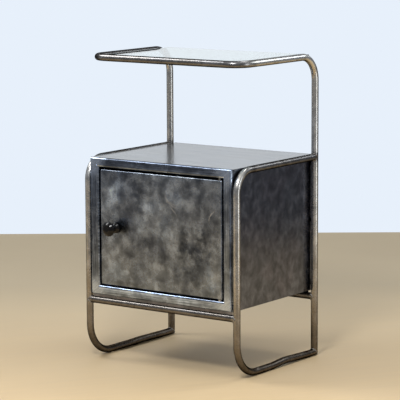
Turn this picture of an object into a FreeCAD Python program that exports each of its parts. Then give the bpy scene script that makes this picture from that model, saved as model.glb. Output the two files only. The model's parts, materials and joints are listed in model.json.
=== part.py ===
"""Ward bedside cabinet: a bent steel tube frame that carries a sheet steel cabinet and a glass shelf.

Frame of the part, in millimetres: +X is to the right for a person facing the door, the door faces
-Y, and +Z is up.  The origin is on the floor, at the centre of the overall box, knob included.
"""
import FreeCAD, Part
import os
from math import cos, radians, sin, tan

V = FreeCAD.Vector
X_AXIS = V(1, 0, 0)
Y_AXIS = V(0, 1, 0)
Z_AXIS = V(0, 0, 1)

# ---------------------------------------------------------------- driving dimensions
WIDTH = 480.0                 # over the two side loops
DEPTH = 371.0                 # over the front legs and the rear uprights
HEIGHT = 790.0                # floor to the top of the shelf hoop
TUBE_D = 18.0
TUBE_WALL = 1.5
RAIL_TOP = 530.0              # top of the side loops' upper run
CROSSBAR_TOP = 165.0
SHELF_SETBACK = 16.0          # the hoop's front run stands this far behind the front legs

RAIL_BEND = 55.0              # centreline bend radii of the tubes
FOOT_BEND = 82.0
UPRIGHT_BEND = 62.0
HOOP_CORNER = 45.0
RUNNER_BEND = 200.0
RUNNER_ARCH = {"left": 1.0, "right": 4.0}      # hand-bent: the runners rise off the floor between their ends

SHEET = 1.2                   # cabinet sheet steel
FLANGE = 12.0                 # width of the folded flanges
FACE_WIDTH = 439.0            # over the face frame
FACE_TOP = 527.0
FACE_BOTTOM = 173.0
MEMBER_W = 23.5               # face frame section, seen from the front
LATCH_STILE_W = 27.5          # the left stile is wider, for the latch to reach behind
MEMBER_D = 11.0               # face frame section, front to back
MEMBER_R = 4.5                # its rounded front edges
MEMBER_REAR_R = 2.0
FACE_LEAD = 8.5               # the face frame's front lies this far ahead of the legs' centreline

DOOR_LATCH_GAP = 5.5          # clearances round the door, in the face frame's opening
DOOR_HINGE_GAP = 4.0
DOOR_TOP_GAP = 5.5
DOOR_BOTTOM_GAP = 4.5
DOOR_D = 14.0
DOOR_RECESS = 0.5             # the door's face lies this far behind the face frame's
DOOR_EDGE_R = 3.0             # fold radius round the door's face
LINER = 1.0                   # sheet of the door's inner pan
LINER_LIP = 5.5               # depth of the inner pan's edge

PIVOT_R = 2.5
PIVOT_INSET = 9.0             # pivot axis to the door's right edge
PIVOT_SETBACK = 5.0           # pivot axis behind the door's face
RUNNING_FIT = 0.05            # radial clearance of turning fits

KNOB_INSET = 49.5             # knob axis to the door's left edge
KNOB_Z = 351.5
KNOB_LENGTH = 40.0            # door face to the front of the knob
KNOB_HEAD_R = 18.5
KNOB_NECK_R = 7.0
KNOB_BASE_R = 14.0
SPINDLE_R = 3.0
TONGUE_REACH = 66.0
TONGUE_W = 12.0
TONGUE_T = 2.0

GLASS_T = 6.0
GLASS_TOP = 785.0
GLASS_GAP = 1.0               # round the glass, to the tube
GLASS_REAR = 15.0             # the glass stops this far ahead of the uprights' centreline

# ---------------------------------------------------------------- places worked out from them
TUBE_R = TUBE_D / 2
KNOB_REACH = KNOB_LENGTH - (TUBE_R - FACE_LEAD + DOOR_RECESS)      # knob's front ahead of the legs' fronts
OVERALL_DEPTH = DEPTH + KNOB_REACH
SIDE_X = WIDTH / 2 - TUBE_R                    # tube centrelines
LEG_Y = -OVERALL_DEPTH / 2 + KNOB_REACH + TUBE_R
UPRIGHT_Y = OVERALL_DEPTH / 2 - TUBE_R
RAIL_Z = RAIL_TOP - TUBE_R
CROSSBAR_Z = CROSSBAR_TOP - TUBE_R
HOOP_Z = HEIGHT - TUBE_R
HOOP_Y = LEG_Y + SHELF_SETBACK

FACE_X = FACE_WIDTH / 2                        # cabinet half width
FACE_Y = LEG_Y - FACE_LEAD                     # front plane of the face frame
FACE_BACK = FACE_Y + MEMBER_D
OPENING_X = FACE_X - MEMBER_W                  # the opening's right and left edges
OPENING_LEFT = -FACE_X + LATCH_STILE_W
OPENING_TOP = FACE_TOP - MEMBER_W
OPENING_BOTTOM = FACE_BOTTOM + MEMBER_W
CABINET_BACK = UPRIGHT_Y + FACE_LEAD
TOP_Z = FACE_TOP - 0.5                         # upper side of the top sheet
FLOOR_Z = 171.5                                # under side of the cabinet floor

DOOR_LEFT = OPENING_LEFT + DOOR_LATCH_GAP
DOOR_RIGHT = OPENING_X - DOOR_HINGE_GAP
DOOR_TOP = OPENING_TOP - DOOR_TOP_GAP
DOOR_BOTTOM = OPENING_BOTTOM + DOOR_BOTTOM_GAP
DOOR_Y = FACE_Y + DOOR_RECESS
DOOR_BACK = DOOR_Y + DOOR_D
PIVOT_X = DOOR_RIGHT - PIVOT_INSET
PIVOT_Y = DOOR_Y + PIVOT_SETBACK
KNOB_X = DOOR_LEFT + KNOB_INSET
TONGUE_Y = DOOR_BACK + 1.0
INNER_SHELF_Z = 350.0
GLASS_BOTTOM = GLASS_TOP - GLASS_T
PAD_T = 1.0
TAB_T = 2.0


# ---------------------------------------------------------------- helpers
def save(name, *solids):
    """Write one sub-part; several solids in it are a group of identical pieces."""
    shape = solids[0] if len(solids) == 1 else Part.Compound(list(solids))
    shape.exportStep("parts/" + name + ".step")


def box(x0, x1, y0, y1, z0, z1):
    return Part.makeBox(x1 - x0, y1 - y0, z1 - z0, V(x0, y0, z0))


def rod(radius, start, end):
    along = end - start
    return Part.makeCylinder(radius, along.Length, start, along)


def prism(points, along):
    """Extrude a closed outline of straight edges along a vector."""
    return Part.Face(Part.makePolygon(points + points[:1])).extrude(along)


def fillet(shape, radius, wanted):
    """Round the edges whose end points both satisfy wanted(point)."""
    edges = [e for e in shape.Edges if all(wanted(v.Point) for v in e.Vertexes)]
    return shape.makeFillet(radius, edges)


def bent_path(corners, radii):
    """A line through the corners, with an arc of the given radius at each inner corner."""
    edges = []
    start = corners[0]
    for before, corner, after, radius in zip(corners, corners[1:], corners[2:], radii):
        back = (before - corner).normalize()
        ahead = (after - corner).normalize()
        half_turn = back.getAngle(ahead) / 2
        reach = radius / tan(half_turn)
        centre = corner + (back + ahead).normalize() * (radius / sin(half_turn))
        arc_start = corner + back * reach
        arc_end = corner + ahead * reach
        middle = centre + (corner - centre).normalize() * radius
        edges.append(Part.makeLine(start, arc_start))
        edges.append(Part.Arc(arc_start, middle, arc_end).toShape())
        start = arc_end
    edges.append(Part.makeLine(start, corners[-1]))
    return Part.Wire(edges)


def bent_tube(path):
    """A round tube swept along the path, hollow and open at both ends."""
    start = path.Edges[0].Vertexes[0].Point
    heading = path.Edges[0].Vertexes[1].Point - start

    def sweep(radius):
        ring = Part.Wire(Part.makeCircle(radius, start, heading))
        return path.makePipeShell([ring], True, False)

    return sweep(TUBE_R).cut(sweep(TUBE_R - TUBE_WALL))


def mitre_wedge(above):
    """Block on one side of the 45 degree plane where each upright meets its runner."""
    far = 40.0
    tip_high = V(-WIDTH, UPRIGHT_Y - far, TUBE_R + far)
    tip_low = V(-WIDTH, UPRIGHT_Y + far, TUBE_R - far)
    if above:
        third = V(-WIDTH, UPRIGHT_Y + far, TUBE_R + far)
    else:
        third = V(-WIDTH, UPRIGHT_Y - far, TUBE_R - far)
    return prism([tip_high, tip_low, third], X_AXIS * (2 * WIDTH))


# ---------------------------------------------------------------- tube frame
def upright_core(side):
    return rod(TUBE_R, V(side * SIDE_X, UPRIGHT_Y, 0), V(side * SIDE_X, UPRIGHT_Y, HOOP_Z - UPRIGHT_BEND))


def leg_core(side):
    return rod(TUBE_R, V(side * SIDE_X, LEG_Y, FOOT_BEND), V(side * SIDE_X, LEG_Y, RAIL_Z - RAIL_BEND))


def make_hoop():
    """One tube: up the left rear, forward, across the front, back and down the right rear."""
    below = -15.0
    corners = [
        V(-SIDE_X, UPRIGHT_Y, below),
        V(-SIDE_X, UPRIGHT_Y, HOOP_Z),
        V(-SIDE_X, HOOP_Y, HOOP_Z),
        V(SIDE_X, HOOP_Y, HOOP_Z),
        V(SIDE_X, UPRIGHT_Y, HOOP_Z),
        V(SIDE_X, UPRIGHT_Y, below),
    ]
    radii = [UPRIGHT_BEND, HOOP_CORNER, HOOP_CORNER, UPRIGHT_BEND]
    tube = bent_tube(bent_path(corners, radii))
    save("shelf_hoop_tube", tube.cut(mitre_wedge(above=False)))


def make_side_loop(name, side):
    """One tube: forward from the upright, down the front leg and back along the floor."""
    x = side * SIDE_X
    level = TUBE_R
    crest = level + RUNNER_ARCH[name]
    corners = [
        V(x, UPRIGHT_Y, RAIL_Z),
        V(x, LEG_Y, RAIL_Z),
        V(x, LEG_Y, level),
        V(x, LEG_Y + 155, level),
        V(x, LEG_Y + 210, crest),
        V(x, UPRIGHT_Y - 35, level),
        V(x, UPRIGHT_Y + 30, level),
    ]
    radii = [RAIL_BEND, FOOT_BEND, RUNNER_BEND, RUNNER_BEND, RUNNER_BEND]
    tube = bent_tube(bent_path(corners, radii))
    tube = tube.cut(mitre_wedge(above=True))
    save(name + "_side_loop_tube", tube.cut(upright_core(side)))


def make_crossbar(name, y, core):
    """Straight tube between the side tubes, its ends coped to fit round them."""
    start = V(-SIDE_X, y, CROSSBAR_Z)
    end = V(SIDE_X, y, CROSSBAR_Z)
    tube = rod(TUBE_R, start, end).cut(rod(TUBE_R - TUBE_WALL, start, end))
    save(name, tube.cut(core(-1)).cut(core(1)))


# ---------------------------------------------------------------- glass shelf
def make_glass():
    x = SIDE_X - TUBE_R - GLASS_GAP
    front = HOOP_Y + TUBE_R + GLASS_GAP
    rear = UPRIGHT_Y - GLASS_REAR
    glass = box(-x, x, front, rear, GLASS_BOTTOM, GLASS_TOP)
    corner_r = HOOP_CORNER - TUBE_R - GLASS_GAP
    upright_edges = [e for e in glass.Edges
                     if e.Vertexes[0].X == e.Vertexes[1].X and e.Vertexes[0].Y == e.Vertexes[1].Y]
    glass = glass.makeFillet(corner_r, [e for e in upright_edges if e.Vertexes[0].Y < 0])
    glass = glass.makeFillet(0.8, [e for e in glass.Edges if e.Length > 30])
    save("glass_shelf", glass)


def glass_support_places():
    """Each support: a point on the tube's centreline and the direction in towards the glass."""
    places = [(V(0, HOOP_Y, HOOP_Z) + X_AXIS * x, Y_AXIS) for x in (-120, 120)]
    for side in (-1, 1):
        for y in (HOOP_Y + 80, HOOP_Y + 230):
            places.append((V(side * SIDE_X, y, HOOP_Z), X_AXIS * -side))
    return places


def make_glass_supports():
    """Steel tabs welded inside the hoop, each with a clear pad that the glass lies on."""
    tab_w, tab_reach, pad_r = 20.0, 24.0, 5.0
    tab_top = GLASS_BOTTOM - PAD_T
    tabs, pads = [], []
    for point, inward in glass_support_places():
        across = Z_AXIS.cross(inward)
        corner = V(point.x, point.y, tab_top - TAB_T) - across * (tab_w / 2)
        outline = [
            corner,
            corner + inward * (tab_reach - 4),
            corner + inward * tab_reach + across * 4,
            corner + inward * tab_reach + across * (tab_w - 4),
            corner + inward * (tab_reach - 4) + across * tab_w,
            corner + across * tab_w,
        ]
        tube = rod(TUBE_R, point - across * tab_w, point + across * tab_w)
        tabs.append(prism(outline, Z_AXIS * TAB_T).cut(tube))
        seat = V(point.x, point.y, tab_top) + inward * (tab_reach - 8)
        pads.append(rod(pad_r, seat, seat + Z_AXIS * PAD_T))
    save("glass_support_tabs", *tabs)
    save("glass_pads", *pads)


# ---------------------------------------------------------------- face frame
def rounded_section(x0, x1, z0, z1, y0, y1, inset, along):
    """Bar that fills the given box, a member's section shrunk by the inset; along is its long axis."""
    bar = box(x0, x1, y0, y1, z0, z1)
    for y, radius in ((y0, MEMBER_R - inset), (y1, MEMBER_REAR_R - inset)):
        edges = [e for e in bar.Edges if all(abs(v.Y - y) < 0.01 for v in e.Vertexes)]
        if along == "x":
            edges = [e for e in edges if abs(e.Vertexes[0].X - e.Vertexes[1].X) > 50]
        else:
            edges = [e for e in edges if abs(e.Vertexes[0].Z - e.Vertexes[1].Z) > 50]
        bar = bar.makeFillet(radius, edges)
    return bar


def frame_member(x0, x1, z0, z1, along):
    """Rectangular steel tube, longer than needed at both ends."""
    wall = 1.5
    outer = rounded_section(x0, x1, z0, z1, FACE_Y, FACE_BACK, 0, along)
    if along == "x":
        inner = (x0, x1, z0 + wall, z1 - wall)
    else:
        inner = (x0 + wall, x1 - wall, z0, z1)
    bore = rounded_section(*inner, FACE_Y + wall, FACE_BACK - wall, wall, along)
    return outer.cut(bore)


def mitred(member, outline):
    """Keep the part of a frame member inside an outline of (x, z) corners."""
    corners = [V(x, FACE_Y - 1, z) for x, z in outline]
    return member.common(prism(corners, Y_AXIS * (MEMBER_D + 2)))


def pivot_hole(z, radius):
    """Cutter for a hole on the door's pivot axis."""
    return rod(radius, V(PIVOT_X, PIVOT_Y, z - 6), V(PIVOT_X, PIVOT_Y, z + 6))


def make_face_frame():
    """Four mitred members of rectangular tube; the pivot pins pass through the rails."""
    rails = {
        "face_frame_top_rail": (FACE_TOP, OPENING_TOP),
        "face_frame_bottom_rail": (FACE_BOTTOM, OPENING_BOTTOM),
    }
    for name, (outside, inside) in rails.items():
        member = frame_member(-FACE_X, FACE_X, min(outside, inside), max(outside, inside), "x")
        outline = [(-FACE_X, outside), (FACE_X, outside), (OPENING_X, inside), (OPENING_LEFT, inside)]
        save(name, mitred(member, outline).cut(pivot_hole(inside, PIVOT_R)))
    for name, outer_x, inner_x in (("left", -FACE_X, OPENING_LEFT), ("right", FACE_X, OPENING_X)):
        member = frame_member(min(outer_x, inner_x), max(outer_x, inner_x), FACE_BOTTOM, FACE_TOP, "z")
        outline = [
            (outer_x, FACE_BOTTOM),
            (outer_x, FACE_TOP),
            (inner_x, OPENING_TOP),
            (inner_x, OPENING_BOTTOM),
        ]
        save("face_frame_" + name + "_stile", mitred(member, outline))


# ---------------------------------------------------------------- sheet steel cabinet
def make_top():
    """Flat top with flanges folded down inside the side panels and behind."""
    inside = FACE_X - SHEET
    under = TOP_Z - SHEET
    sheet = box(-FACE_X, FACE_X, FACE_BACK, CABINET_BACK, under, TOP_Z)
    sheet = fillet(sheet, 0.8, lambda p: p.y > CABINET_BACK - 0.1 and p.z > TOP_Z - 0.1)
    for side in (-1, 1):
        xs = sorted((side * inside, side * (inside - SHEET)))
        sheet = sheet.fuse(box(*xs, FACE_BACK, CABINET_BACK - 3 * SHEET, under - FLANGE, under))
    width = inside - FLANGE
    rear = box(-width, width, CABINET_BACK - SHEET, CABINET_BACK, under - FLANGE, under)
    save("cabinet_top", sheet.fuse(rear).removeSplitter())


def make_side_panel(name, side):
    """Flat side with a flange folded in at the rear."""
    outline = [
        (FACE_X, FACE_BACK),
        (FACE_X, CABINET_BACK),
        (FACE_X - FLANGE, CABINET_BACK),
        (FACE_X - FLANGE, CABINET_BACK - SHEET),
        (FACE_X - SHEET, CABINET_BACK - SHEET),
        (FACE_X - SHEET, FACE_BACK),
    ]
    corners = [V(side * x, y, FLOOR_Z) for x, y in outline]
    panel = prism(corners, Z_AXIS * (TOP_Z - SHEET - FLOOR_Z))
    corner = fillet(panel, 1.0, lambda p: abs(p.x) > FACE_X - 0.1 and p.y > CABINET_BACK - 0.1)
    save(name + "_side_panel", corner)


def make_back():
    x = FACE_X - SHEET
    save("back_panel", box(-x, x, CABINET_BACK - 2 * SHEET, CABINET_BACK - SHEET,
                           FLOOR_Z + SHEET, TOP_Z - SHEET))


def make_floor():
    """Cabinet floor: its front edge is folded down onto one crossbar, its rear edge behind the other."""
    x = FACE_X - SHEET
    front = LEG_Y - SHEET / 2
    between_flanges = FACE_X - FLANGE
    sheet = box(-x, x, front, CABINET_BACK - SHEET, FLOOR_Z, FLOOR_Z + SHEET)
    front_edge = box(-x, x, front, front + SHEET, CROSSBAR_TOP, FLOOR_Z)
    rear_edge = box(-between_flanges, between_flanges, CABINET_BACK - SHEET, CABINET_BACK,
                    CROSSBAR_TOP - 3.5, FLOOR_Z + SHEET)
    save("cabinet_floor", sheet.fuse([front_edge, rear_edge]).removeSplitter())


def make_inner_shelf():
    """Loose shelf on two angle strips."""
    z = INNER_SHELF_Z
    strip_t, strip_w, lip = 1.5, 15.0, 15.0
    wall = FACE_X - SHEET
    front = FACE_BACK + 30
    rear = CABINET_BACK - 6
    x = wall - 2
    shelf = box(-x, x, front, rear, z, z + SHEET)
    for y in (front, rear - SHEET):
        shelf = shelf.fuse(box(-x, x, y, y + SHEET, z - lip, z))
    save("inner_shelf", shelf.removeSplitter())
    for name, side in (("left", -1), ("right", 1)):
        outline = [
            (wall, z),
            (wall, z - strip_w),
            (wall - strip_t, z - strip_w),
            (wall - strip_t, z - strip_t),
            (wall - strip_w, z - strip_t),
            (wall - strip_w, z),
        ]
        corners = [V(side * a, front + 3, b) for a, b in outline]
        save(name + "_shelf_strip", prism(corners, Y_AXIS * (rear - front - 6)))


# ---------------------------------------------------------------- door
def door_pan(inset, y0, y1, radius):
    """Block with rounded corners and a rounded front, the outside or inside of a folded pan."""
    block = box(DOOR_LEFT + inset, DOOR_RIGHT - inset, y0, y1, DOOR_BOTTOM + inset, DOOR_TOP - inset)
    corners = [e for e in block.Edges if abs(e.Vertexes[0].Y - e.Vertexes[1].Y) > 1]
    block = block.makeFillet(radius, corners)
    return fillet(block, radius * 0.98, lambda p: p.y < y0 + 0.01)


def make_door():
    """Outer pan folded back all round, closed behind by a shallower inner pan."""
    t = SHEET
    outer = door_pan(0, DOOR_Y, DOOR_BACK, DOOR_EDGE_R)
    hollow = door_pan(t, DOOR_Y + t, DOOR_BACK + 1, DOOR_EDGE_R - t)
    bush_hole = rod(5.5, V(KNOB_X, DOOR_Y - 5, KNOB_Z), V(KNOB_X, DOOR_BACK + 5, KNOB_Z))
    skin = outer.cut(hollow).cut(bush_hole)
    for z in (DOOR_TOP, DOOR_BOTTOM):
        skin = skin.cut(pivot_hole(z, PIVOT_R + 1))
    save("door_skin", skin)

    x0, x1 = DOOR_LEFT + t, DOOR_RIGHT - t
    z0, z1 = DOOR_BOTTOM + t, DOOR_TOP - t
    lip_y = DOOR_BACK - LINER_LIP
    liner = box(x0, x1, lip_y, DOOR_BACK, z0, z1)
    liner = liner.makeFillet(DOOR_EDGE_R - t, [e for e in liner.Edges
                                              if abs(e.Vertexes[0].Y - e.Vertexes[1].Y) > 1])
    inside = box(x0 + LINER, x1 - LINER, lip_y, DOOR_BACK - LINER, z0 + LINER, z1 - LINER)
    save("door_inner_pan", liner.cut(inside).cut(bush_hole))


def make_pivots():
    """Pins held in the rails turn in blocks welded inside the door; a washer carries the door."""
    block_h, block_w = 20.0, 12.0
    inside = DOOR_EDGE_R
    into_rail, into_door = 12.0, 18.0
    washer_t = DOOR_BOTTOM_GAP - 0.1
    ends = {
        "upper": (OPENING_TOP, DOOR_TOP - inside, -1),
        "lower": (OPENING_BOTTOM, DOOR_BOTTOM + inside, 1),
    }
    for name, (rail_z, block_z, inward) in ends.items():
        low, high = sorted((block_z, block_z + inward * block_h))
        block = box(PIVOT_X - block_w / 2, PIVOT_X + block_w / 2,
                    DOOR_Y + SHEET, DOOR_BACK - LINER - 0.2, low, high)
        bore = rod(PIVOT_R + RUNNING_FIT, V(PIVOT_X, PIVOT_Y, low), V(PIVOT_X, PIVOT_Y, high))
        save("door_pivot_block_" + name, block.cut(bore))
        save("pivot_pin_" + name, rod(PIVOT_R, V(PIVOT_X, PIVOT_Y, rail_z - inward * into_rail),
                                      V(PIVOT_X, PIVOT_Y, block_z + inward * into_door)))
    washer_low = V(PIVOT_X, PIVOT_Y, OPENING_BOTTOM)
    washer_high = washer_low + Z_AXIS * washer_t
    washer = rod(4.5, washer_low, washer_high).cut(rod(PIVOT_R, washer_low, washer_high))
    save("pivot_washer", washer)


def make_door_stops():
    """Joggled tabs on the left stile's back; the door's inner pan closes against them."""
    t, height = 1.5, 25.0
    stop_y = DOOR_BACK + 0.3
    web_x = OPENING_LEFT - 0.1
    outline = [
        (web_x - 16, FACE_BACK),
        (web_x, FACE_BACK),
        (web_x, stop_y),
        (DOOR_LEFT + 9, stop_y),
        (DOOR_LEFT + 9, stop_y + t),
        (web_x - t, stop_y + t),
        (web_x - t, FACE_BACK + t),
        (web_x - 16, FACE_BACK + t),
    ]
    stops = []
    for z in (DOOR_BOTTOM + 50, DOOR_TOP - 50 - height):
        stops.append(prism([V(x, y, z) for x, y in outline], Z_AXIS * height))
    save("door_stop_tabs", *stops)


def make_strike():
    """Pad on the left stile's back with a ramp at its top; the latch tongue turns down behind it."""
    low, high, ramp = KNOB_Z - 14, KNOB_Z + 42, 14.0
    strike_y = TONGUE_Y - 0.3
    outline = [
        (FACE_BACK, low),
        (strike_y, low),
        (strike_y, high - ramp),
        (FACE_BACK + 1.5, high),
        (FACE_BACK, high),
    ]
    left = OPENING_LEFT - 18
    save("latch_strike", prism([V(left, y, z) for y, z in outline], X_AXIS * 17))


# ---------------------------------------------------------------- knob and latch
def knob_profile(flange):
    """Half outline of the turned knob from its flat base to the centre of its domed head."""
    reach = KNOB_LENGTH
    base_y = DOOR_Y - flange
    shoulder = [
        V(KNOB_BASE_R, DOOR_Y - 4.0, 0),
        V(KNOB_BASE_R - 3.6, DOOR_Y - 8.5, 0),
        V(KNOB_NECK_R + 0.3, DOOR_Y - 14.5, 0),
        V(KNOB_NECK_R + 0.6, DOOR_Y - 20.0, 0),
        V(KNOB_HEAD_R - 5.5, DOOR_Y - 25.5, 0),
        V(KNOB_HEAD_R, DOOR_Y - 31.5, 0),
        V(KNOB_HEAD_R - 4.5, DOOR_Y - 37.0, 0),
        V(0, DOOR_Y - reach, 0),
    ]
    curve = Part.BSplineCurve()
    curve.interpolate(Points=shoulder, InitialTangent=V(0, -1, 0), FinalTangent=V(-1, 0, 0))
    base = [V(0, base_y, 0), V(KNOB_BASE_R - 1.5, base_y, 0), V(KNOB_BASE_R, base_y - 1.0, 0), shoulder[0]]
    edges = [Part.makeLine(a, b) for a, b in zip(base, base[1:])]
    edges.append(curve.toShape())
    edges.append(Part.makeLine(shoulder[-1], base[0]))
    return Part.Face(Part.Wire(edges))


def make_knob_and_latch():
    """The knob turns a spindle in a flanged bush; the tongue is nutted to the spindle's flats."""
    flange_t, flange_r, bush_r = 1.2, 8.0, 5.5
    washer_r, nut_half = 6.0, 5.0
    flat = 2.2
    centre = V(KNOB_X, 0, KNOB_Z)

    def shaft(radius, y0, y1):
        return rod(radius, centre + Y_AXIS * y0, centre + Y_AXIS * y1)

    knob = knob_profile(flange_t + 0.2).revolve(V(0, 0, 0), Y_AXIS, 360)
    knob.translate(centre)
    thread_end = DOOR_Y - 27.0
    knob = knob.cut(shaft(SPINDLE_R, thread_end, DOOR_Y))
    save("knob", knob)

    bush = shaft(flange_r, DOOR_Y - flange_t, DOOR_Y).fuse(shaft(bush_r, DOOR_Y, DOOR_BACK + 0.2))
    save("spindle_bush", bush.cut(shaft(SPINDLE_R + RUNNING_FIT, DOOR_Y - 5, DOOR_BACK + 5)).removeSplitter())

    nut_back = TONGUE_Y + TONGUE_T + 5.0
    spindle = shaft(SPINDLE_R, thread_end, nut_back + 1.5)
    for side in (-1, 1):
        xs = sorted((KNOB_X + side * flat, KNOB_X + side * 10))
        spindle = spindle.cut(box(*xs, TONGUE_Y, TONGUE_Y + TONGUE_T, KNOB_Z - 10, KNOB_Z + 10))
    save("knob_spindle", spindle)

    washer = shaft(washer_r, DOOR_BACK + 0.3, TONGUE_Y).cut(shaft(SPINDLE_R, DOOR_BACK, TONGUE_Y))
    save("latch_washer", washer)

    half = TONGUE_W / 2
    plate = box(KNOB_X - half, KNOB_X + half, TONGUE_Y, TONGUE_Y + TONGUE_T,
                KNOB_Z, KNOB_Z + TONGUE_REACH - half)
    for z in (KNOB_Z, KNOB_Z + TONGUE_REACH - half):
        tip = V(KNOB_X, TONGUE_Y, z)
        plate = plate.fuse(rod(half, tip, tip + Y_AXIS * TONGUE_T))
    hole = shaft(SPINDLE_R, TONGUE_Y, TONGUE_Y + TONGUE_T)
    hole = hole.common(box(KNOB_X - flat, KNOB_X + flat, TONGUE_Y - 1, TONGUE_Y + 9, KNOB_Z - 9, KNOB_Z + 9))
    save("latch_tongue", plate.cut(hole).removeSplitter())

    across_corners = nut_half / cos(radians(30))
    corners = []
    for step in range(6):
        angle = radians(60 * step)
        offset = V(across_corners * cos(angle), TONGUE_Y + TONGUE_T, across_corners * sin(angle))
        corners.append(centre + offset)
    nut = prism(corners, Y_AXIS * (nut_back - TONGUE_Y - TONGUE_T))
    save("latch_nut", nut.cut(shaft(SPINDLE_R, TONGUE_Y, nut_back + 5)))


# ---------------------------------------------------------------- build
def build():
    os.makedirs("parts", exist_ok=True)
    make_hoop()
    make_side_loop("left", -1)
    make_side_loop("right", 1)
    make_crossbar("front_crossbar", LEG_Y, leg_core)
    make_crossbar("rear_crossbar", UPRIGHT_Y, upright_core)
    make_glass()
    make_glass_supports()
    make_face_frame()
    make_top()
    make_side_panel("left", -1)
    make_side_panel("right", 1)
    make_back()
    make_floor()
    make_inner_shelf()
    make_door()
    make_pivots()
    make_door_stops()
    make_strike()
    make_knob_and_latch()


build()
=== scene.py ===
import json
import math

import bmesh
import bpy
from mathutils import Matrix, Vector, noise


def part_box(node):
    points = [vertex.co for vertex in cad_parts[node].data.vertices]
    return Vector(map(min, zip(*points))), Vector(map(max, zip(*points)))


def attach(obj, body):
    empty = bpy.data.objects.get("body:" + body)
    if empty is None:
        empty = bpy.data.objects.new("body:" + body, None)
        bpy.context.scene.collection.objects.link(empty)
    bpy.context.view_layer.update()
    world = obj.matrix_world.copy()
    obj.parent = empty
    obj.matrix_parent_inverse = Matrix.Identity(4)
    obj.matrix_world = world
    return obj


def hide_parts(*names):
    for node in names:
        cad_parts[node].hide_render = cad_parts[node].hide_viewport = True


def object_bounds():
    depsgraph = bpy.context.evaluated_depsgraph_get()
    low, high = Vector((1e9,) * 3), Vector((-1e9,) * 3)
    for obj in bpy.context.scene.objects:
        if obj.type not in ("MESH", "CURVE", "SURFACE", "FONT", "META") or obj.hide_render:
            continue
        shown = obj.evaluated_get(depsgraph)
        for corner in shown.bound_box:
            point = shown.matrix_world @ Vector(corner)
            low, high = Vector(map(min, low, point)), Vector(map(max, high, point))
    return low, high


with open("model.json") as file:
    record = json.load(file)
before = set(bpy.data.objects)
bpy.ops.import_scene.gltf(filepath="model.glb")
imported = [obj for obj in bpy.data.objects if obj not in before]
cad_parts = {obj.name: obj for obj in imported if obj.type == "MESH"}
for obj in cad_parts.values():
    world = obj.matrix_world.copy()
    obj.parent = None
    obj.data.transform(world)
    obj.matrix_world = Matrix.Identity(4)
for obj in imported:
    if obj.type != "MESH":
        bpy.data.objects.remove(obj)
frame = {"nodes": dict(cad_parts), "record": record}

CAD_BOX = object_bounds()
NODES = frame["nodes"]
MM = 0.001


# ---------------------------------------------------------------- places read from the CAD model
HOOP_LOW, HOOP_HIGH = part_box("shelf_hoop_tube")
BAR_LOW, BAR_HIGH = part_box("front_crossbar")
LOOP_LOW, LOOP_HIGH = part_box("right_side_loop_tube")
PANEL_LOW, PANEL_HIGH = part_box("right_side_panel")
TOP_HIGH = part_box("cabinet_top")[1]
FLOOR_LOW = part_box("cabinet_floor")[0]
DOOR_LOW, DOOR_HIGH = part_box("door_skin")
DOOR_MIDDLE = (DOOR_LOW + DOOR_HIGH) / 2
LEFT_STILE_LOW, LEFT_STILE_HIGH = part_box("face_frame_left_stile")
RIGHT_STILE_LOW, RIGHT_STILE_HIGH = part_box("face_frame_right_stile")
FACE_LOW = Vector((LEFT_STILE_LOW.x, LEFT_STILE_LOW.y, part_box("face_frame_bottom_rail")[0].z))
FACE_HIGH = Vector((RIGHT_STILE_HIGH.x, LEFT_STILE_HIGH.y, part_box("face_frame_top_rail")[1].z))
MEMBER_W = RIGHT_STILE_HIGH.x - RIGHT_STILE_LOW.x         # face frame section, seen from the front
TUBE_R = (BAR_HIGH.z - BAR_LOW.z) / 2
SIDE_X = HOOP_HIGH.x - TUBE_R
UPRIGHT_Y = HOOP_HIGH.y - TUBE_R
LEG_Y = LOOP_LOW.y + TUBE_R
RAIL_Z = LOOP_HIGH.z - TUBE_R
BAR_Z = (BAR_LOW.z + BAR_HIGH.z) / 2

# The camera's place and turn; the floor and the room's shading are square to its yaw.
CAMERA_AT = Vector((3.1316, -4.3366, 1.22125))
YAW, PITCH, ROLL = math.radians(35.766), math.radians(8.586), math.radians(-0.264)
LENS = 189.78


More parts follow.
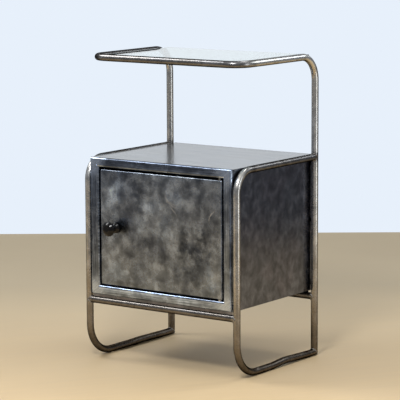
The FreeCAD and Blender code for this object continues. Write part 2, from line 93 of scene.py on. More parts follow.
# ---------------------------------------------------------------- material building
class Graph:
    """A material on a Principled shader, with short ways to add the nodes that feed it."""

    def __init__(self, name):
        self.material = bpy.data.materials.new(name)
        self.material.use_nodes = True
        self.tree = self.material.node_tree
        self.shader = self.tree.nodes["Principled BSDF"]
        coordinates = self.tree.nodes.new("ShaderNodeTexCoord")
        self.place = coordinates.outputs["Object"]
        self.facing = coordinates.outputs["Normal"]

    def node(self, kind, inputs, **settings):
        made = self.tree.nodes.new("ShaderNode" + kind)
        for key, value in settings.items():
            setattr(made, key, value)
        for key, value in inputs.items():
            if isinstance(value, bpy.types.NodeSocket):
                self.tree.links.new(value, made.inputs[key])
            else:
                made.inputs[key].default_value = value
        return made

    def stretched(self, scale, turn=(0, 0, 0)):
        """Object coordinates times a scale per axis, after a turn."""
        turned = self.node("Mapping", {"Vector": self.place, "Rotation": turn}, vector_type="POINT")
        return self.node("Mapping", {"Vector": turned.outputs[0], "Scale": scale}).outputs[0]

    def cloud(self, vector, scale, detail=4.0, rough=0.55, warp=0.0):
        return self.node("TexNoise", {"Vector": vector, "Scale": scale, "Detail": detail,
                                      "Roughness": rough, "Distortion": warp}).outputs["Fac"]

    def ramp(self, value, stops):
        made = self.node("ValToRGB", {"Fac": value})
        elements = made.color_ramp.elements
        while len(elements) < len(stops):
            elements.new(0.5)
        for element, (position, colour) in zip(elements, stops):
            element.position = position
            element.color = (*(colour if isinstance(colour, tuple) else (colour,) * 3), 1)
        return made.outputs["Color"]

    def math(self, operation, a, b=0.0):
        return self.node("Math", {0: a, 1: b}, operation=operation).outputs[0]

    def length(self, a, b):
        """The length of a flat vector from its two parts."""
        squares = self.math("ADD", self.math("MULTIPLY", a, a), self.math("MULTIPLY", b, b))
        return self.math("SQRT", squares)

    def span(self, value, low, high, to_low=0.0, to_high=1.0, kind="LINEAR"):
        made = self.node("MapRange", {"Value": value, "From Min": low, "From Max": high,
                                      "To Min": to_low, "To Max": to_high}, interpolation_type=kind)
        return made.outputs["Result"]

    def mix(self, factor, a, b, kind="MIX"):
        made = self.node("Mix", {}, data_type="RGBA", blend_type=kind, clamp_factor=True)
        for key, value in ((0, factor), (6, a), (7, b)):
            if isinstance(value, bpy.types.NodeSocket):
                self.tree.links.new(value, made.inputs[key])
            elif isinstance(value, tuple):
                made.inputs[key].default_value = (*value, 1)
            else:
                made.inputs[key].default_value = value
        return made.outputs[2]

    def axis(self, letter):
        return self.node("SeparateXYZ", {0: self.place}).outputs[letter]

    def oval(self, x, z, wide, tall, ragged=0.9, grain=34.0):
        """1 at a place on an upright face, falling to 0 at a ragged oval rim."""
        dx = self.math("DIVIDE", self.math("SUBTRACT", self.axis("X"), x), wide)
        dz = self.math("DIVIDE", self.math("SUBTRACT", self.axis("Z"), z), tall)
        edge = self.math("SUBTRACT", self.cloud(self.place, grain, 8.0, 0.66), 0.5)
        distance = self.math("ADD", self.length(dx, dz), self.math("MULTIPLY", edge, ragged * 4))
        return self.span(distance, 0.15, 1.25, 1.0, 0.0, "SMOOTHSTEP")

    def gain(self, colour, factor, tint):
        """The colour, multiplied by the tint as far as the factor says."""
        return self.mix(1.0, colour, self.mix(factor, (1.0, 1.0, 1.0), tint), "MULTIPLY")

    def feed(self, socket, value):
        if isinstance(value, bpy.types.NodeSocket):
            self.tree.links.new(value, self.shader.inputs[socket])
        else:
            self.shader.inputs[socket].default_value = value

    def bump(self, height, depth):
        made = self.node("Bump", {"Height": height, "Strength": 1.0, "Distance": depth})
        self.feed("Normal", made.outputs["Normal"])


def steel(name, tint, low, high, cloud, streak, streak_scale, rough, scratch, grain=0.10,
          depth=0.03 * MM, polish=None, warm=(1.05, 0.99, 0.92), stops=(0.36, 0.66), warp=0.7, rim=1.0):
    """Bare steel under lacquer: cloudy oxide, drawn-out streaks, hairline scratches and a fine grain.

    low and high are the darkest and palest tone as parts of the tint, cloud and streak_scale the noise
    scales of the oxide clouds and the streaks (higher is finer), streak the streaks' share, stops where
    the clouds turn dark and pale, rim the tint at grazing angles and polish a function that reworks the
    colour before the scratches.
    """
    g = Graph(name)
    blotch = g.cloud(g.place, cloud, 7.0, 0.62, warp)
    drawn = g.cloud(g.stretched(streak_scale), 1.0, 5.0, 0.6, 0.3)
    tone = g.math("ADD", g.math("MULTIPLY", blotch, 1 - streak), g.math("MULTIPLY", drawn, streak))
    dark = tuple(c * low for c in tint)
    light = tuple(c * high for c in tint)
    colour = g.ramp(tone, [(stops[0], dark), (sum(stops) / 2, tint), (stops[1], light)])
    age = g.cloud(g.place, cloud * 0.35, 3.0, 0.5, 0.4)
    aged = g.mix(g.span(age, 0.42, 0.62, 0.0, 0.7), (1.0, 1.0, 1.0), warm)
    colour = g.mix(1.0, colour, aged, "MULTIPLY")
    if polish:
        colour = polish(g, colour, tint)
    hair = g.cloud(g.stretched((1500, 1500, 22), (0.0, 0.35, 0.0)), 1.0, 1.0, 0.5)
    cross = g.cloud(g.stretched((22, 1400, 1400), (0.0, 0.62, 0.2)), 1.0, 1.0, 0.5)
    hairs = g.math("MAXIMUM", g.span(hair, 0.66, 0.78), g.span(cross, 0.67, 0.80))
    bare = tuple(min(1, c * 2.6) for c in tint)
    colour = g.mix(g.math("MULTIPLY", hairs, scratch), colour, bare)
    speck = g.cloud(g.place, 520.0, 2.0, 0.5)
    colour = g.mix(1.0, colour, g.ramp(speck, [(0.3, 1 - grain), (0.7, 1 + grain)]), "MULTIPLY")
    g.feed("Base Color", colour)
    g.feed("Metallic", 1.0)
    g.feed("Specular Tint", (rim, rim, rim, 1.0))
    worn = g.math("ADD", g.math("MULTIPLY", blotch, 0.7), g.math("MULTIPLY", speck, 0.3))
    g.feed("Roughness", g.span(worn, 0.34, 0.66, rough[0], rough[1]))
    g.bump(g.math("ADD", g.math("MULTIPLY", drawn, 0.6), g.math("MULTIPLY", speck, 0.4)), depth)
    return g


def corner_polish(low, high, width, gain):
    """Ground bright patches round the four corners of a rectangle in the x-z plane."""
    middle = (low + high) / 2
    half = (high - low) / 2

    def apply(g, colour, tint):
        axes = g.node("SeparateXYZ", {0: g.place})
        x = g.math("ABSOLUTE", g.math("SUBTRACT", axes.outputs["X"], middle.x))
        z = g.math("ABSOLUTE", g.math("SUBTRACT", axes.outputs["Z"], middle.z))
        dx = g.math("SUBTRACT", x, half.x - width)
        dz = g.math("SUBTRACT", z, half.z - width)
        edge = g.math("SUBTRACT", g.cloud(g.place, 60.0, 3.0, 0.6), 0.5)
        ragged = g.math("ADD", g.length(dx, dz), g.math("MULTIPLY", edge, 50 * MM))
        paler_patch = g.span(ragged, 12 * MM, 42 * MM, 1.0, 0.0)
        brushed = g.cloud(g.stretched((30, 600, 600), (0, 0.7, 0)), 1.0, 3.0, 0.6)
        bright = g.ramp(brushed, [(0.3, tuple(c * gain * 0.7 for c in tint)),
                                  (0.7, tuple(min(1, c * gain * 1.25) for c in tint))])
        return g.mix(paler_patch, colour, bright)

    return apply


# Patches on the door: place from its middle, half width and half height in millimetres, and strength.
DARK_PATCHES = (
    (-9, 124, 30, 20, 0.9), (-57, 102, 24, 26, 0.8), (81, 112, 40, 22, 0.8), (137, 90, 30, 45, 0.6),
    (19, 36, 18, 34, 0.7), (105, -28, 52, 50, 1.0), (125, -70, 60, 75, 0.75), (-39, -28, 40, 22, 0.7),
    (57, -80, 30, 30, 0.6), (-153, 2, 30, 50, 0.6), (147, 22, 34, 30, 0.5), (-93, -60, 28, 18, 0.4),
    (17, -114, 50, 16, 0.4),
)
PALE_PATCHES = (
    (-136, 106, 36, 34, 0.55), (-153, 70, 20, 40, 0.4), (-33, 66, 50, 25, 0.35), (17, 0, 40, 30, 0.35),
    (154, -100, 26, 34, 0.65), (-140, -112, 36, 22, 0.45), (37, 90, 34, 22, 0.35), (-63, 16, 45, 26, 0.3),
)
# Curved scuffs: middle and radius of the arc, then middle and reach of the stretch that shows.
SCUFFS = (
    (49, 112, 36, 27, 82, 28), (59, 120, 52, 33, 74, 24),
    (7, 30, 48, 42, 62, 20), (197, 30, 50, 157, 60, 18),
)


def door_patches(g, colour, tint):
    """The large cloudy patches of the door sheet: dark oxide, paler rubbed places and curved scuffs."""
    def patch(x, z, wide, tall, ragged=0.9):
        return g.oval(DOOR_MIDDLE.x + x * MM, DOOR_MIDDLE.z + z * MM, wide * MM, tall * MM, ragged)

    for patches, gain in ((DARK_PATCHES, (0.36, 0.37, 0.40)), (PALE_PATCHES, (1.70, 1.82, 1.95))):
        for x, z, wide, tall, much in patches:
            colour = g.gain(colour, g.math("MULTIPLY", patch(x, z, wide, tall), much), gain)
    large = g.cloud(g.place, 9.0, 6.0, 0.62, 0.2)
    colour = g.gain(colour, g.span(large, 0.5, 0.36), (0.55, 0.56, 0.60))
    colour = g.gain(colour, g.span(large, 0.5, 0.64), (1.45, 1.45, 1.45))
    lower = g.span(g.axis("Z"), DOOR_HIGH.z - 78 * MM, DOOR_LOW.z)
    colour = g.gain(colour, lower, (0.70, 0.72, 0.77))
    for x, z, radius, at_x, at_z, reach in SCUFFS:
        dx = g.math("SUBTRACT", g.axis("X"), DOOR_MIDDLE.x + x * MM)
        dz = g.math("SUBTRACT", g.axis("Z"), DOOR_MIDDLE.z + z * MM)
        unsteady = g.math("SUBTRACT", g.cloud(g.place, 60.0, 2.0), 0.5)
        shaken = g.math("ADD", g.length(dx, dz), g.math("MULTIPLY", unsteady, 12 * MM))
        away = g.math("ABSOLUTE", g.math("SUBTRACT", shaken, radius * MM))
        line = g.span(away, 0.4 * MM, 2.2 * MM, 1.0, 0.0)
        line = g.math("MULTIPLY", line, patch(at_x, at_z, reach, reach, 0.3))
        colour = g.mix(g.math("MULTIPLY", line, 0.55), colour, (0.85, 0.87, 0.88))
    return colour


def frame_wear_and_painted_reflection(g, colour, tint):
    """The face frame: top rail and left stile darker, corners polished paler by grinding, and the bottom
    rail patchily paler, partly worn and partly a painted reflection that turns it brighter and bluer
    towards its top.
    """
    z, x = g.axis("Z"), g.axis("X")
    low = g.math("LESS_THAN", z, FACE_LOW.z + MEMBER_W)
    patchy = g.span(g.cloud(g.stretched((9, 9, 30)), 1.0, 4.0, 0.6), 0.42, 0.60, 0.35, 1.0)
    # Painted reflection: the bottom rail grows paler and bluer towards its top edge; the patchy part is
    # worn tone.
    painted_reflection_rise = g.span(z, FACE_LOW.z + 3 * MM, FACE_LOW.z + 16 * MM, 0.25, 1.0)
    paler_patch = g.math("MULTIPLY", low, g.math("MULTIPLY", patchy, painted_reflection_rise))
    colour = g.gain(colour, paler_patch, (2.1, 2.25, 2.5))
    high = g.span(z, FACE_HIGH.z - 24 * MM, FACE_HIGH.z - 12 * MM, 0.25, 0.9)
    high = g.math("MULTIPLY", high, g.span(z, FACE_HIGH.z - 25 * MM, FACE_HIGH.z - 23 * MM))
    colour = g.gain(colour, high, (0.55, 0.57, 0.62))
    upright = g.math("GREATER_THAN", g.math("ABSOLUTE", x), FACE_HIGH.x - MEMBER_W)
    along_z = g.cloud(g.stretched((230, 30, 9)), 1.0, 4.0, 0.6)
    along_x = g.cloud(g.stretched((9, 30, 230)), 1.0, 4.0, 0.6)
    lines = g.mix(upright, along_x, along_z)
    brushed = g.ramp(lines, [(0.38, 0.58), (0.50, 0.95), (0.62, 1.75)])
    colour = g.mix(1.0, colour, brushed, "MULTIPLY")
    left = g.span(x, FACE_LOW.x + 24 * MM, FACE_LOW.x + 18 * MM)
    colour = g.gain(colour, left, (0.72, 0.73, 0.76))
    return corner_polish(FACE_LOW, FACE_HIGH, 12 * MM, 2.4)(g, colour, tint)


FOOT_DARK_TOP = 0.40       # the tubes darken from this height down to the floor


def tube_tone_and_painted_light(g, colour, tint):
    """The tubes: darker and browner towards the floor, painted shade on their undersides, darker on the
    hoop's front and left runs, on the rails and on the crossbars, partly a darker finish and partly painted
    shade over their highlights, and a painted highlight that brightens the hoop's right run."""
    z, y = g.axis("Z"), g.axis("Y")
    foot = g.span(z, 20 * MM, FOOT_DARK_TOP, 1.0, 0.0, "SMOOTHSTEP")
    colour = g.gain(colour, foot, (0.26, 0.232, 0.21))
    # Painted shade: the tubes darken on faces that turn downwards.
    facing = g.node("SeparateXYZ", {0: g.facing}).outputs["Z"]
    colour = g.gain(colour, g.span(facing, -0.05, -0.75), (0.40, 0.38, 0.36))
    hoop = g.span(z, HOOP_HIGH.z - 50 * MM, HOOP_HIGH.z - 18 * MM)
    front_run = g.span(y, HOOP_LOW.y + 80 * MM, HOOP_LOW.y + 30 * MM)
    left_run = g.span(g.axis("X"), HOOP_LOW.x + 160 * MM, HOOP_LOW.x + 80 * MM)
    dimmed_runs = g.math("MAXIMUM", front_run, left_run)
    # Painted highlight: the hoop's height band is brightened outside its front and left runs.
    bright = g.math("MULTIPLY", hoop, g.math("SUBTRACT", 1.0, dimmed_runs))
    colour = g.gain(colour, bright, (1.75, 1.75, 1.70))
    behind_bend = g.span(y, LOOP_LOW.y + 16 * MM, LOOP_LOW.y + 66 * MM)
    rail = g.math("MULTIPLY", behind_bend, g.span(z, RAIL_Z - 14 * MM, RAIL_Z - 10 * MM))
    rail = g.math("MULTIPLY", rail, g.span(z, RAIL_Z + 14 * MM, RAIL_Z + 10 * MM))
    # Crossbars between the legs darker: partly a darker finish, partly painted shade that dims their
    # highlight.
    bar = g.math("MULTIPLY", g.span(z, BAR_HIGH.z + 2 * MM, BAR_HIGH.z),
                 g.span(z, BAR_LOW.z - 2 * MM, BAR_LOW.z))
    between = g.span(g.math("ABSOLUTE", g.axis("X")), SIDE_X - 9 * MM, SIDE_X - 12 * MM)
    colour = g.gain(colour, g.math("MULTIPLY", bar, between), (0.62, 0.62, 0.64))
    # Darker on the hoop's front and left runs and on the rails: partly a darker finish, partly painted
    # shade that dims their highlights.
    level = g.math("MAXIMUM", g.math("MULTIPLY", hoop, dimmed_runs), rail)
    return g.gain(colour, level, (0.40, 0.40, 0.42))


def finish_tube():
    return steel("tube_lacquered_steel", (0.65, 0.645, 0.625), 0.70, 1.25, cloud=26, streak=0.3,
                 streak_scale=(90, 90, 30), rough=(0.22, 0.32), scratch=0.12, grain=0.05, depth=0.01 * MM,
                 warm=(1.03, 0.98, 0.90), polish=tube_tone_and_painted_light, rim=0.04)


def finish_frame():
    return steel("frame_ground_steel", (0.215, 0.253, 0.318), 0.55, 1.5, cloud=30, streak=0.3,
                 streak_scale=(60, 60, 60), rough=(0.16, 0.30), scratch=0.3, warm=(1.03, 1.0, 0.97),
                 polish=frame_wear_and_painted_reflection, rim=0.3)


def finish_panel():
    # Painted shade: the side sheets take a tint about half the door's, standing in for the shade on faces
    # that turn away from the light.
    return steel("side_sheet_steel", (0.143, 0.155, 0.192), 0.66, 1.48, cloud=32, streak=0.25,
                 streak_scale=(70, 70, 26), rough=(0.14, 0.24), scratch=0.1, warm=(1.06, 0.98, 0.98),
                 stops=(0.40, 0.61), warp=0.3)


def finish_top():
    return steel("top_sheet_steel", (0.200, 0.216, 0.243), 0.70, 1.35, cloud=11, streak=0.35,
                 streak_scale=(9, 42, 40), rough=(0.13, 0.24), scratch=0.12, depth=0.01 * MM,
                 warm=(1.02, 1.0, 0.98), stops=(0.40, 0.60))


def finish_inside():
    return steel("inner_sheet_steel", (0.36, 0.36, 0.365), 0.7, 1.35, cloud=26, streak=0.3,
                 streak_scale=(60, 60, 60), rough=(0.32, 0.5), scratch=0.15, warm=(1.03, 1.0, 0.96))


def finish_door():
    return steel("door_sheet_steel", (0.288, 0.328, 0.385), 0.55, 1.5, cloud=36, streak=0.3,
                 streak_scale=(60, 60, 24), rough=(0.2, 0.32), scratch=0.18, warm=(1.03, 1.0, 0.96),
                 stops=(0.38, 0.62), warp=0.15, polish=door_patches)


def finish_hardware():
    return steel("plain_hardware_steel", (0.46, 0.455, 0.45), 0.75, 1.25, cloud=90, streak=0.3,
                 streak_scale=(300, 300, 60), rough=(0.25, 0.42), scratch=0.3)


def finish_weld():
    return steel("weld_steel", (0.27, 0.26, 0.25), 0.5, 1.5, cloud=220, streak=0.2,
                 streak_scale=(300, 300, 300), rough=(0.30, 0.46), scratch=0.1, depth=0.1 * MM)


def finish_knob():
    g = Graph("knob_black_bakelite")
    smudge = g.cloud(g.place, 90.0, 4.0, 0.6, 0.5)
    fine = g.cloud(g.place, 900.0, 2.0, 0.5)
    g.feed("Base Color", g.ramp(smudge, [(0.35, (0.004, 0.004, 0.005)), (0.65, (0.010, 0.009, 0.008))]))
    g.feed("Roughness", g.span(smudge, 0.35, 0.7, 0.03, 0.09))
    g.feed("IOR", 1.33)
    g.bump(g.math("ADD", g.math("MULTIPLY", smudge, 0.8), g.math("MULTIPLY", fine, 0.2)), 0.04 * MM)
    return g


def finish_glass():
    g = Graph("shelf_float_glass")
    film = g.cloud(g.place, 14.0, 5.0, 0.6, 0.6)
    dust = g.cloud(g.place, 420.0, 2.0, 0.5)
    g.feed("Base Color", g.ramp(film, [(0.3, (0.68, 0.755, 0.775)), (0.7, (0.73, 0.80, 0.815))]))
    smears = g.span(film, 0.45, 0.7, 0.0, 0.03)
    g.feed("Roughness", g.math("ADD", smears, g.span(dust, 0.66, 0.8, 0.0, 0.05)))
    g.feed("IOR", 1.52)
    g.feed("Transmission Weight", 1.0)
    body = g.node("VolumeAbsorption", {"Color": (0.45, 0.80, 0.70, 1), "Density": 9.0})
    g.tree.links.new(body.outputs[0], g.tree.nodes["Material Output"].inputs["Volume"])
    return g


def finish_pad():
    g = Graph("clear_soft_pad")
    haze = g.cloud(g.place, 300.0, 3.0, 0.6)
    g.feed("Base Color", g.ramp(haze, [(0.3, (0.62, 0.64, 0.64)), (0.7, (0.78, 0.79, 0.78))]))
    g.feed("Roughness", g.span(haze, 0.3, 0.7, 0.3, 0.5))
    g.feed("Subsurface Weight", 0.3)
    g.feed("Subsurface Radius", (0.004, 0.004, 0.004))
    g.feed("Subsurface Scale", 0.5)
    g.bump(haze, 0.05 * MM)
    return g


def finish_floor():
    g = Graph("pale_floor")
    broad = g.cloud(g.place, 1.3, 3.0, 0.5)
    fine = g.cloud(g.stretched((60, 4, 4), (0, 0, math.radians(35))), 1.0, 4.0, 0.6)
    tone = g.math("ADD", g.math("MULTIPLY", broad, 0.6), g.math("MULTIPLY", fine, 0.4))
    # Painted shade: the floor darkens and turns bluer away from the camera.
    away = g.node("SeparateXYZ", {0: g.stretched((1, 1, 1), (0, 0, -YAW))}).outputs["Y"]
    colour = g.ramp(tone, [(0.35, (0.78, 0.575, 0.33)), (0.65, (0.86, 0.645, 0.375))])
    g.feed("Base Color", g.gain(colour, g.span(away, -0.6, 1.0), (0.60, 0.66, 0.76)))
    g.feed("Roughness", g.span(fine, 0.3, 0.7, 0.5, 0.62))
    g.feed("Specular IOR Level", 0.3)
    return g


SLOTS = {
    "tube_steel": finish_tube(),
    "frame_steel": finish_frame(),
    "panel_steel": finish_panel(),
    "door_steel": finish_door(),
    "hardware_steel": finish_hardware(),
    "glass": finish_glass(),
    "pad": finish_pad(),
    "knob_black": finish_knob(),
}
TOP = finish_top()
INSIDE = finish_inside()
WELD = finish_weld()
INSIDE_NODES = ("back_panel", "inner_shelf", "left_shelf_strip", "right_shelf_strip")


def dress_cad_nodes():
    """Give every CAD node its slot's finish; the back and the sheets inside have a duller one."""
    for part in frame["record"]["subparts"]:
        node = NODES[part["node"]]
        node.data.materials.clear()
        finish = INSIDE if part["node"] in INSIDE_NODES else SLOTS[part["material_slot"]]
        node.data.materials.append(finish.material)


# ---------------------------------------------------------------- sheets with slight waves
CUT_MERGE = 5e-6           # corners nearer than this after the cuts are made one
ON_PLANE = 2e-5            # a corner this near the outer face counts as on it
FLAT_RIM = 4 * MM          # the sheet stays flat this far in from its edges
WAVE_EASE = 30 * MM        # and reaches its full waves over this much more
WAVE_DEPTH = 0.30 * MM


def sharpen(mesh_data, limit=math.radians(28)):
    """Smooth shading with creases only where faces meet at more than the limit."""
    bm = bmesh.new()
    bm.from_mesh(mesh_data)
    for face in bm.faces:
        face.smooth = True
    for edge in bm.edges:
        edge.smooth = len(edge.link_faces) == 2 and edge.calc_face_angle(0.0) < limit
    bm.to_mesh(mesh_data)
    bm.free()


def waved_sheet(node, name, axis, plane, inward, cell, wave, seed, body, material):
    """A sheet's CAD shape, cut into a grid, its outer face pushed in by smooth shallow waves.

    The outer face lies at plane on the axis, inward is the sign that leads into the sheet, cell is the
    grid's size and wave the waves' length.
    """
    low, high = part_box(node)
    bm = bmesh.new()
    bm.from_mesh(NODES[node].data)
    bmesh.ops.remove_doubles(bm, verts=bm.verts, dist=1e-6)
    bmesh.ops.dissolve_limit(bm, angle_limit=math.radians(0.5), verts=bm.verts, edges=bm.edges)
    flat_axes = [i for i in range(3) if i != axis]
    for i in flat_axes:
        count = max(2, round((high[i] - low[i]) / cell))
        normal = Vector([1.0 if j == i else 0.0 for j in range(3)])
        for step in range(1, count):
            place = normal * (low[i] + (high[i] - low[i]) * step / count)
            geometry = bm.verts[:] + bm.edges[:] + bm.faces[:]
            bmesh.ops.bisect_plane(bm, geom=geometry, dist=1e-7, plane_co=place, plane_no=normal)
    bmesh.ops.remove_doubles(bm, verts=bm.verts, dist=CUT_MERGE)
    bmesh.ops.triangulate(bm, faces=[f for f in bm.faces if len(f.verts) > 4])
    offset = Vector((seed * 3.7, seed * 1.9, seed * 5.3))
    for vert in bm.verts:
        if abs(vert.co[axis] - plane) > ON_PLANE:
            continue
        margin = min(min(vert.co[i] - low[i], high[i] - vert.co[i]) for i in flat_axes)
        ease = min(1.0, max(0.0, (margin - FLAT_RIM) / WAVE_EASE))
        ease = ease * ease * (3 - 2 * ease)
        height = 0.5 + 0.5 * noise.noise(vert.co / wave + offset)
        height += 0.25 * noise.noise(vert.co / (wave * 0.4) + offset)
        vert.co[axis] += inward * WAVE_DEPTH * ease * max(0.0, height)
    data = bpy.data.meshes.new(name)
    bm.to_mesh(data)
    bm.free()
    sharpen(data)
    add_piece(name, data, material, body, replaced=node)


def add_piece(name, data, material, body, replaced=None):
    piece = bpy.data.objects.new(name, data)
    bpy.context.scene.collection.objects.link(piece)
    data.materials.clear()
    data.materials.append(material.material)
    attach(piece, body)
    if replaced:
        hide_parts(replaced)


# ---------------------------------------------------------------- weld beads
def within_box(spot):
    """The weld is dressed flush where it would stand out of the whole cabinet's box."""
    return Vector([min(max(c, low), high) for c, low, high in zip(spot, CAD_BOX[0], CAD_BOX[1])])


BEAD_SIDES = 12
RING_STEPS = 96            # points round a bead that goes right round a tube
TACK_STEPS = 22
RIPPLE, RIPPLE_PITCH = 0.16, 2.2 * MM
SWELL, SWELL_SCALE = 0.22, 260         # slow change of thickness along a bead
LUMP, LUMP_SCALE = 0.08, 900           # unevenness round it


def bead(name, points, radii, closed=True, seed=0):
    """A weld bead along a line: an uneven round rope with the ripples of the weld pool."""
    count = len(points)
    bm = bmesh.new()
    rings = []
    travelled = 0.0
    for i, point in enumerate(points):
        if closed:
            before, after = points[i - 1], points[(i + 1) % count]
        else:
            before, after = points[max(0, i - 1)], points[min(count - 1, i + 1)]
        along = (after - before).normalized()
        if i:
            travelled += (point - points[i - 1]).length
        side = along.cross(Vector((0.31, 0.17, 0.93))).normalized()
        other = along.cross(side)
        wobble = noise.noise(point * SWELL_SCALE + Vector((seed, 0, 0)))
        swell = 1 + RIPPLE * math.sin(2 * math.pi * travelled / RIPPLE_PITCH) + SWELL * wobble
        ring = []
        for k in range(BEAD_SIDES):
            angle = 2 * math.pi * k / BEAD_SIDES
            lump = 1 + LUMP * noise.noise(point * LUMP_SCALE + Vector((k * 0.9, seed, 0)))
            reach = radii[i] * swell * lump
            spot = point + side * math.cos(angle) * reach + other * math.sin(angle) * reach
            ring.append(bm.verts.new(within_box(spot)))
        rings.append(ring)
    pairs = list(zip(rings, rings[1:]))
    if closed:
        pairs.append((rings[-1], rings[0]))
    for ring, following in pairs:
        for k in range(BEAD_SIDES):
            after = (k + 1) % BEAD_SIDES
            bm.faces.new((ring[k], ring[after], following[after], following[k]))
    if not closed:
        bm.faces.new(rings[0][::-1])
        bm.faces.new(rings[-1])
    bmesh.ops.recalc_face_normals(bm, faces=bm.faces)
    data = bpy.data.meshes.new(name)
    bm.to_mesh(data)
    bm.free()
    sharpen(data, math.radians(70))
    add_piece(name, data, WELD, "cabinet")


def round_joint(name, at, along, radius=1.9 * MM, seed=0):
    """Bead round the end of a level tube, where it runs along the given axis into a vertical tube."""
    across = along.cross(Vector((0, 0, 1)))
    points = []
    for i in range(RING_STEPS):
        turn = 2 * math.pi * i / RING_STEPS
        up = Vector((0, 0, TUBE_R * math.sin(turn)))
        back = along * -(TUBE_R * abs(math.sin(turn)))
        points.append(at + across * TUBE_R * math.cos(turn) + up + back)
    bead(name, points, [radius] * RING_STEPS, seed=seed)


def mitre_joint(name, side, radius=1.7 * MM, seed=0):
    """Bead round the 45 degree corner of upright and runner, dressed flush at the outside of the corner."""
    points, radii = [], []
    for i in range(RING_STEPS):
        turn = 2 * math.pi * i / RING_STEPS
        inner = (1 - math.cos(turn)) / 2
        size = radius * (0.12 + 0.88 * min(1.0, inner * 1.7))
        reach = TUBE_R - (1 - min(1.0, inner * 2)) * size * 1.3
        points.append(Vector((side * SIDE_X + reach * math.sin(turn),
                              UPRIGHT_Y + reach * math.cos(turn),
                              TUBE_R - reach * math.cos(turn))))
        radii.append(size)
    bead(name, points, radii, seed=seed)


def tack(name, start, end, radius, seed=0):
    """A short straight bead with tapered ends."""
    points = [start.lerp(end, i / (TACK_STEPS - 1)) for i in range(TACK_STEPS)]
    swells = [math.sin(math.pi * (i + 0.5) / TACK_STEPS) for i in range(TACK_STEPS)]
    bead(name, points, [radius * max(0.15, swell) ** 0.5 for swell in swells], closed=False, seed=seed)


def add_welds():
    for side, word in ((-1, "left"), (1, "right")):
        x = side * SIDE_X
        outward = Vector((side, 0, 0))
        round_joint("weld_rail_" + word, Vector((x, UPRIGHT_Y, RAIL_Z)), Vector((0, 1, 0)), seed=side + 3)
        round_joint("weld_front_bar_" + word, Vector((x, LEG_Y, BAR_Z)), outward, seed=side + 7)
        round_joint("weld_rear_bar_" + word, Vector((x, UPRIGHT_Y, BAR_Z)), outward, seed=side + 11)
        mitre_joint("weld_runner_" + word, side, seed=side + 17)
        gap_x = side * (PANEL_HIGH.x + SIDE_X - TUBE_R) / 2      # between the panel and the tubes
        heights = (PANEL_LOW.z + 12 * MM, (PANEL_LOW.z + PANEL_HIGH.z) / 2, PANEL_HIGH.z - 30 * MM)
        for i, z in enumerate(heights):
            start = Vector((gap_x, PANEL_HIGH.y - 4.5 * MM, z))
            tack("weld_tack_rear_%s_%d" % (word, i + 1), start, start + Vector((0, 0, 16 * MM)),
                 2.0 * MM, seed=i)
        for i, z in enumerate((FACE_LOW.z + 4 * MM, FACE_HIGH.z - 100 * MM)):
            start = Vector((gap_x, LEG_Y + 1 * MM, z))
            tack("weld_tack_front_%s_%d" % (word, i + 1), start, start + Vector((0, 0, 14 * MM)),
                 1.9 * MM, seed=i + 5)
        start = Vector((side * (FACE_HIGH.x - 30 * MM), LEG_Y - 1 * MM, (BAR_HIGH.z + FLOOR_LOW.z) / 2))
        tack("weld_floor_edge_" + word, start, start + outward * 18 * MM, 2.0 * MM, seed=side + 23)


# ---------------------------------------------------------------- camera, floor and light
def add_camera():
    data = bpy.data.cameras.new("camera")
    data.lens = LENS
    data.sensor_width = 36.0
    data.clip_end = 100
    cam = bpy.data.objects.new("camera", data)
    bpy.context.scene.collection.objects.link(cam)
    turn = Matrix.Rotation(YAW, 4, "Z") @ Matrix.Rotation(math.pi / 2 - PITCH, 4, "X")
    turn = turn @ Matrix.Rotation(ROLL, 4, "Z")
    cam.matrix_world = Matrix.Translation(CAMERA_AT) @ turn
    bpy.context.scene.camera = cam


def add_floor():
    """A flat floor, square to the camera, whose far edge stands where the wall meets it."""
    back, front, half, cells = 1.96, 1.1, 2.0, 8
    bm = bmesh.new()
    for i in range(cells + 1):
        for j in range(cells + 1):
            x = -half + 2 * half * i / cells
            y = -front + (front + back) * j / cells
            bm.verts.new(Matrix.Rotation(YAW, 3, "Z") @ Vector((x, y, 0)))
    bm.verts.ensure_lookup_table()
    for i in range(cells):
        for j in range(cells):
            a = i * (cells + 1) + j
            bm.faces.new([bm.verts[n] for n in (a, a + cells + 1, a + cells + 2, a + 1)])
    data = bpy.data.meshes.new("floor")
    bm.to_mesh(data)
    bm.free()
    floor = bpy.data.objects.new("floor", data)
    bpy.context.scene.collection.objects.link(floor)
    data.materials.append(finish_floor().material)


def add_card(name, at, target, width, height, radiance, colour=(1, 1, 1)):
    """A soft card of light that the camera doesn't see."""
    data = bpy.data.lights.new(name, "AREA")
    data.shape = "RECTANGLE"
    data.size = width
    data.size_y = height
    data.energy = radiance * math.pi * width * height
    data.color = colour
    light = bpy.data.objects.new(name, data)
    bpy.context.scene.collection.objects.link(light)
    facing = (Vector(target) - Vector(at)).to_track_quat("-Z", "Y")
    light.matrix_world = Matrix.Translation(Vector(at)) @ facing.to_matrix().to_4x4()
    light.visible_camera = False
    light.visible_transmission = False


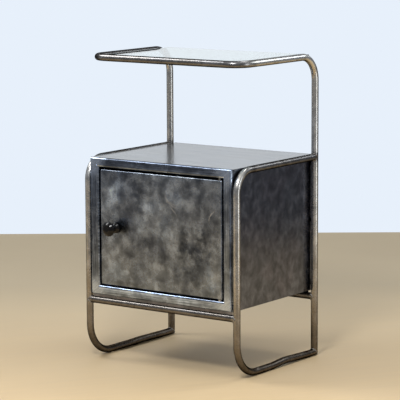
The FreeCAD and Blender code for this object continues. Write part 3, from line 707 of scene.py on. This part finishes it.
def add_world():
    """A near-white backdrop for the eye, and a dimmer room, darker ahead, that lights and is mirrored."""
    world = bpy.data.worlds.new("studio")
    bpy.context.scene.world = world
    world.use_nodes = True
    tree = world.node_tree
    tree.nodes.clear()

    def node(kind, **inputs):
        made = tree.nodes.new("ShaderNode" + kind)
        for key, value in inputs.items():
            made.inputs[key].default_value = value
        return made

    def spread(source, from_min, from_max, to_min=0.0, to_max=1.0):
        made = node("MapRange")
        for key, value in (("From Min", from_min), ("From Max", from_max),
                           ("To Min", to_min), ("To Max", to_max)):
            made.inputs[key].default_value = value
        tree.links.new(source, made.inputs["Value"])
        return made.outputs["Result"]

    backdrop = node("Background", Color=(0.80, 0.872, 0.965, 1), Strength=1.0)
    room = node("Background")
    rays = node("LightPath")
    straight = node("Math")
    straight.operation = "MAXIMUM"
    tree.links.new(rays.outputs["Is Camera Ray"], straight.inputs[0])
    tree.links.new(rays.outputs["Is Transmission Ray"], straight.inputs[1])

    direction = node("TexCoord").outputs["Generated"]
    axes = node("SeparateXYZ")
    tree.links.new(direction, axes.inputs[0])
    shade = node("ValToRGB")
    below, above = shade.color_ramp.elements
    below.position, below.color = 0.0, (0.27, 0.26, 0.25, 1)
    above.position, above.color = 1.0, (0.60, 0.61, 0.62, 1)
    shade.color_ramp.elements.new(0.35).color = (0.19, 0.20, 0.22, 1)
    tree.links.new(spread(axes.outputs["Z"], -0.3, 0.9), shade.inputs["Fac"])
    ahead = node("VectorMath")
    ahead.operation = "DOT_PRODUCT"
    ahead.inputs[1].default_value = (-math.sin(YAW), math.cos(YAW), 0)
    tree.links.new(direction, ahead.inputs[0])
    tree.links.new(shade.outputs["Color"], room.inputs["Color"])
    tree.links.new(spread(ahead.outputs["Value"], 0.1, 0.6, 1.0, 0.35), room.inputs["Strength"])

    blend = node("MixShader")
    tree.links.new(straight.outputs[0], blend.inputs[0])
    tree.links.new(room.outputs[0], blend.inputs[1])
    tree.links.new(backdrop.outputs[0], blend.inputs[2])
    out = node("OutputWorld")
    tree.links.new(blend.outputs[0], out.inputs["Surface"])


def add_lights():
    aim = (0, 0, 0.4)
    cool = (0.93, 0.97, 1.0)
    add_card("wall_glow", (-1.75, 3.3, 1.7), aim, 5.0, 1.8, 0.95, cool)
    add_card("main_left", (-1.9, -0.75, 2.6), aim, 1.1, 1.1, 8.0)
    add_card("front_right", (0.75, -1.9, 2.3), (0.2, -0.3, 0.1), 0.55, 0.42, 42.0)
    add_card("ceiling_back", (0.45, 0.9, 3.0), aim, 0.9, 0.6, 7.0)
    add_card("key_left", (-2.6, -1.4, 0.6), (0, 0, 0.6), 0.6, 2.4, 0.35, cool)
    add_card("back_right", (1.5, 2.4, 2.1), (0.21, 0, 0.75), 0.9, 0.9, 3.0, cool)
    add_card("strip_right", (2.8, 0.3, 0.5), (0, 0, 0.5), 0.8, 2.4, 2.2, cool)


# ---------------------------------------------------------------- build
dress_cad_nodes()
waved_sheet("door_skin", "door_sheet", 1, DOOR_LOW.y, 1, 12 * MM, 0.11, 1, "door",
            SLOTS["door_steel"])
waved_sheet("cabinet_top", "top_sheet", 2, TOP_HIGH.z, -1, 14 * MM, 0.16, 2, "cabinet", TOP)
for word, sign in (("left", -1), ("right", 1)):
    waved_sheet(word + "_side_panel", word + "_side_sheet", 0, sign * PANEL_HIGH.x, -sign, 14 * MM, 0.13,
                3 + sign, "cabinet", SLOTS["panel_steel"])
add_welds()
add_camera()
add_floor()
add_world()
add_lights()
bpy.context.scene.view_settings.view_transform = "Standard"
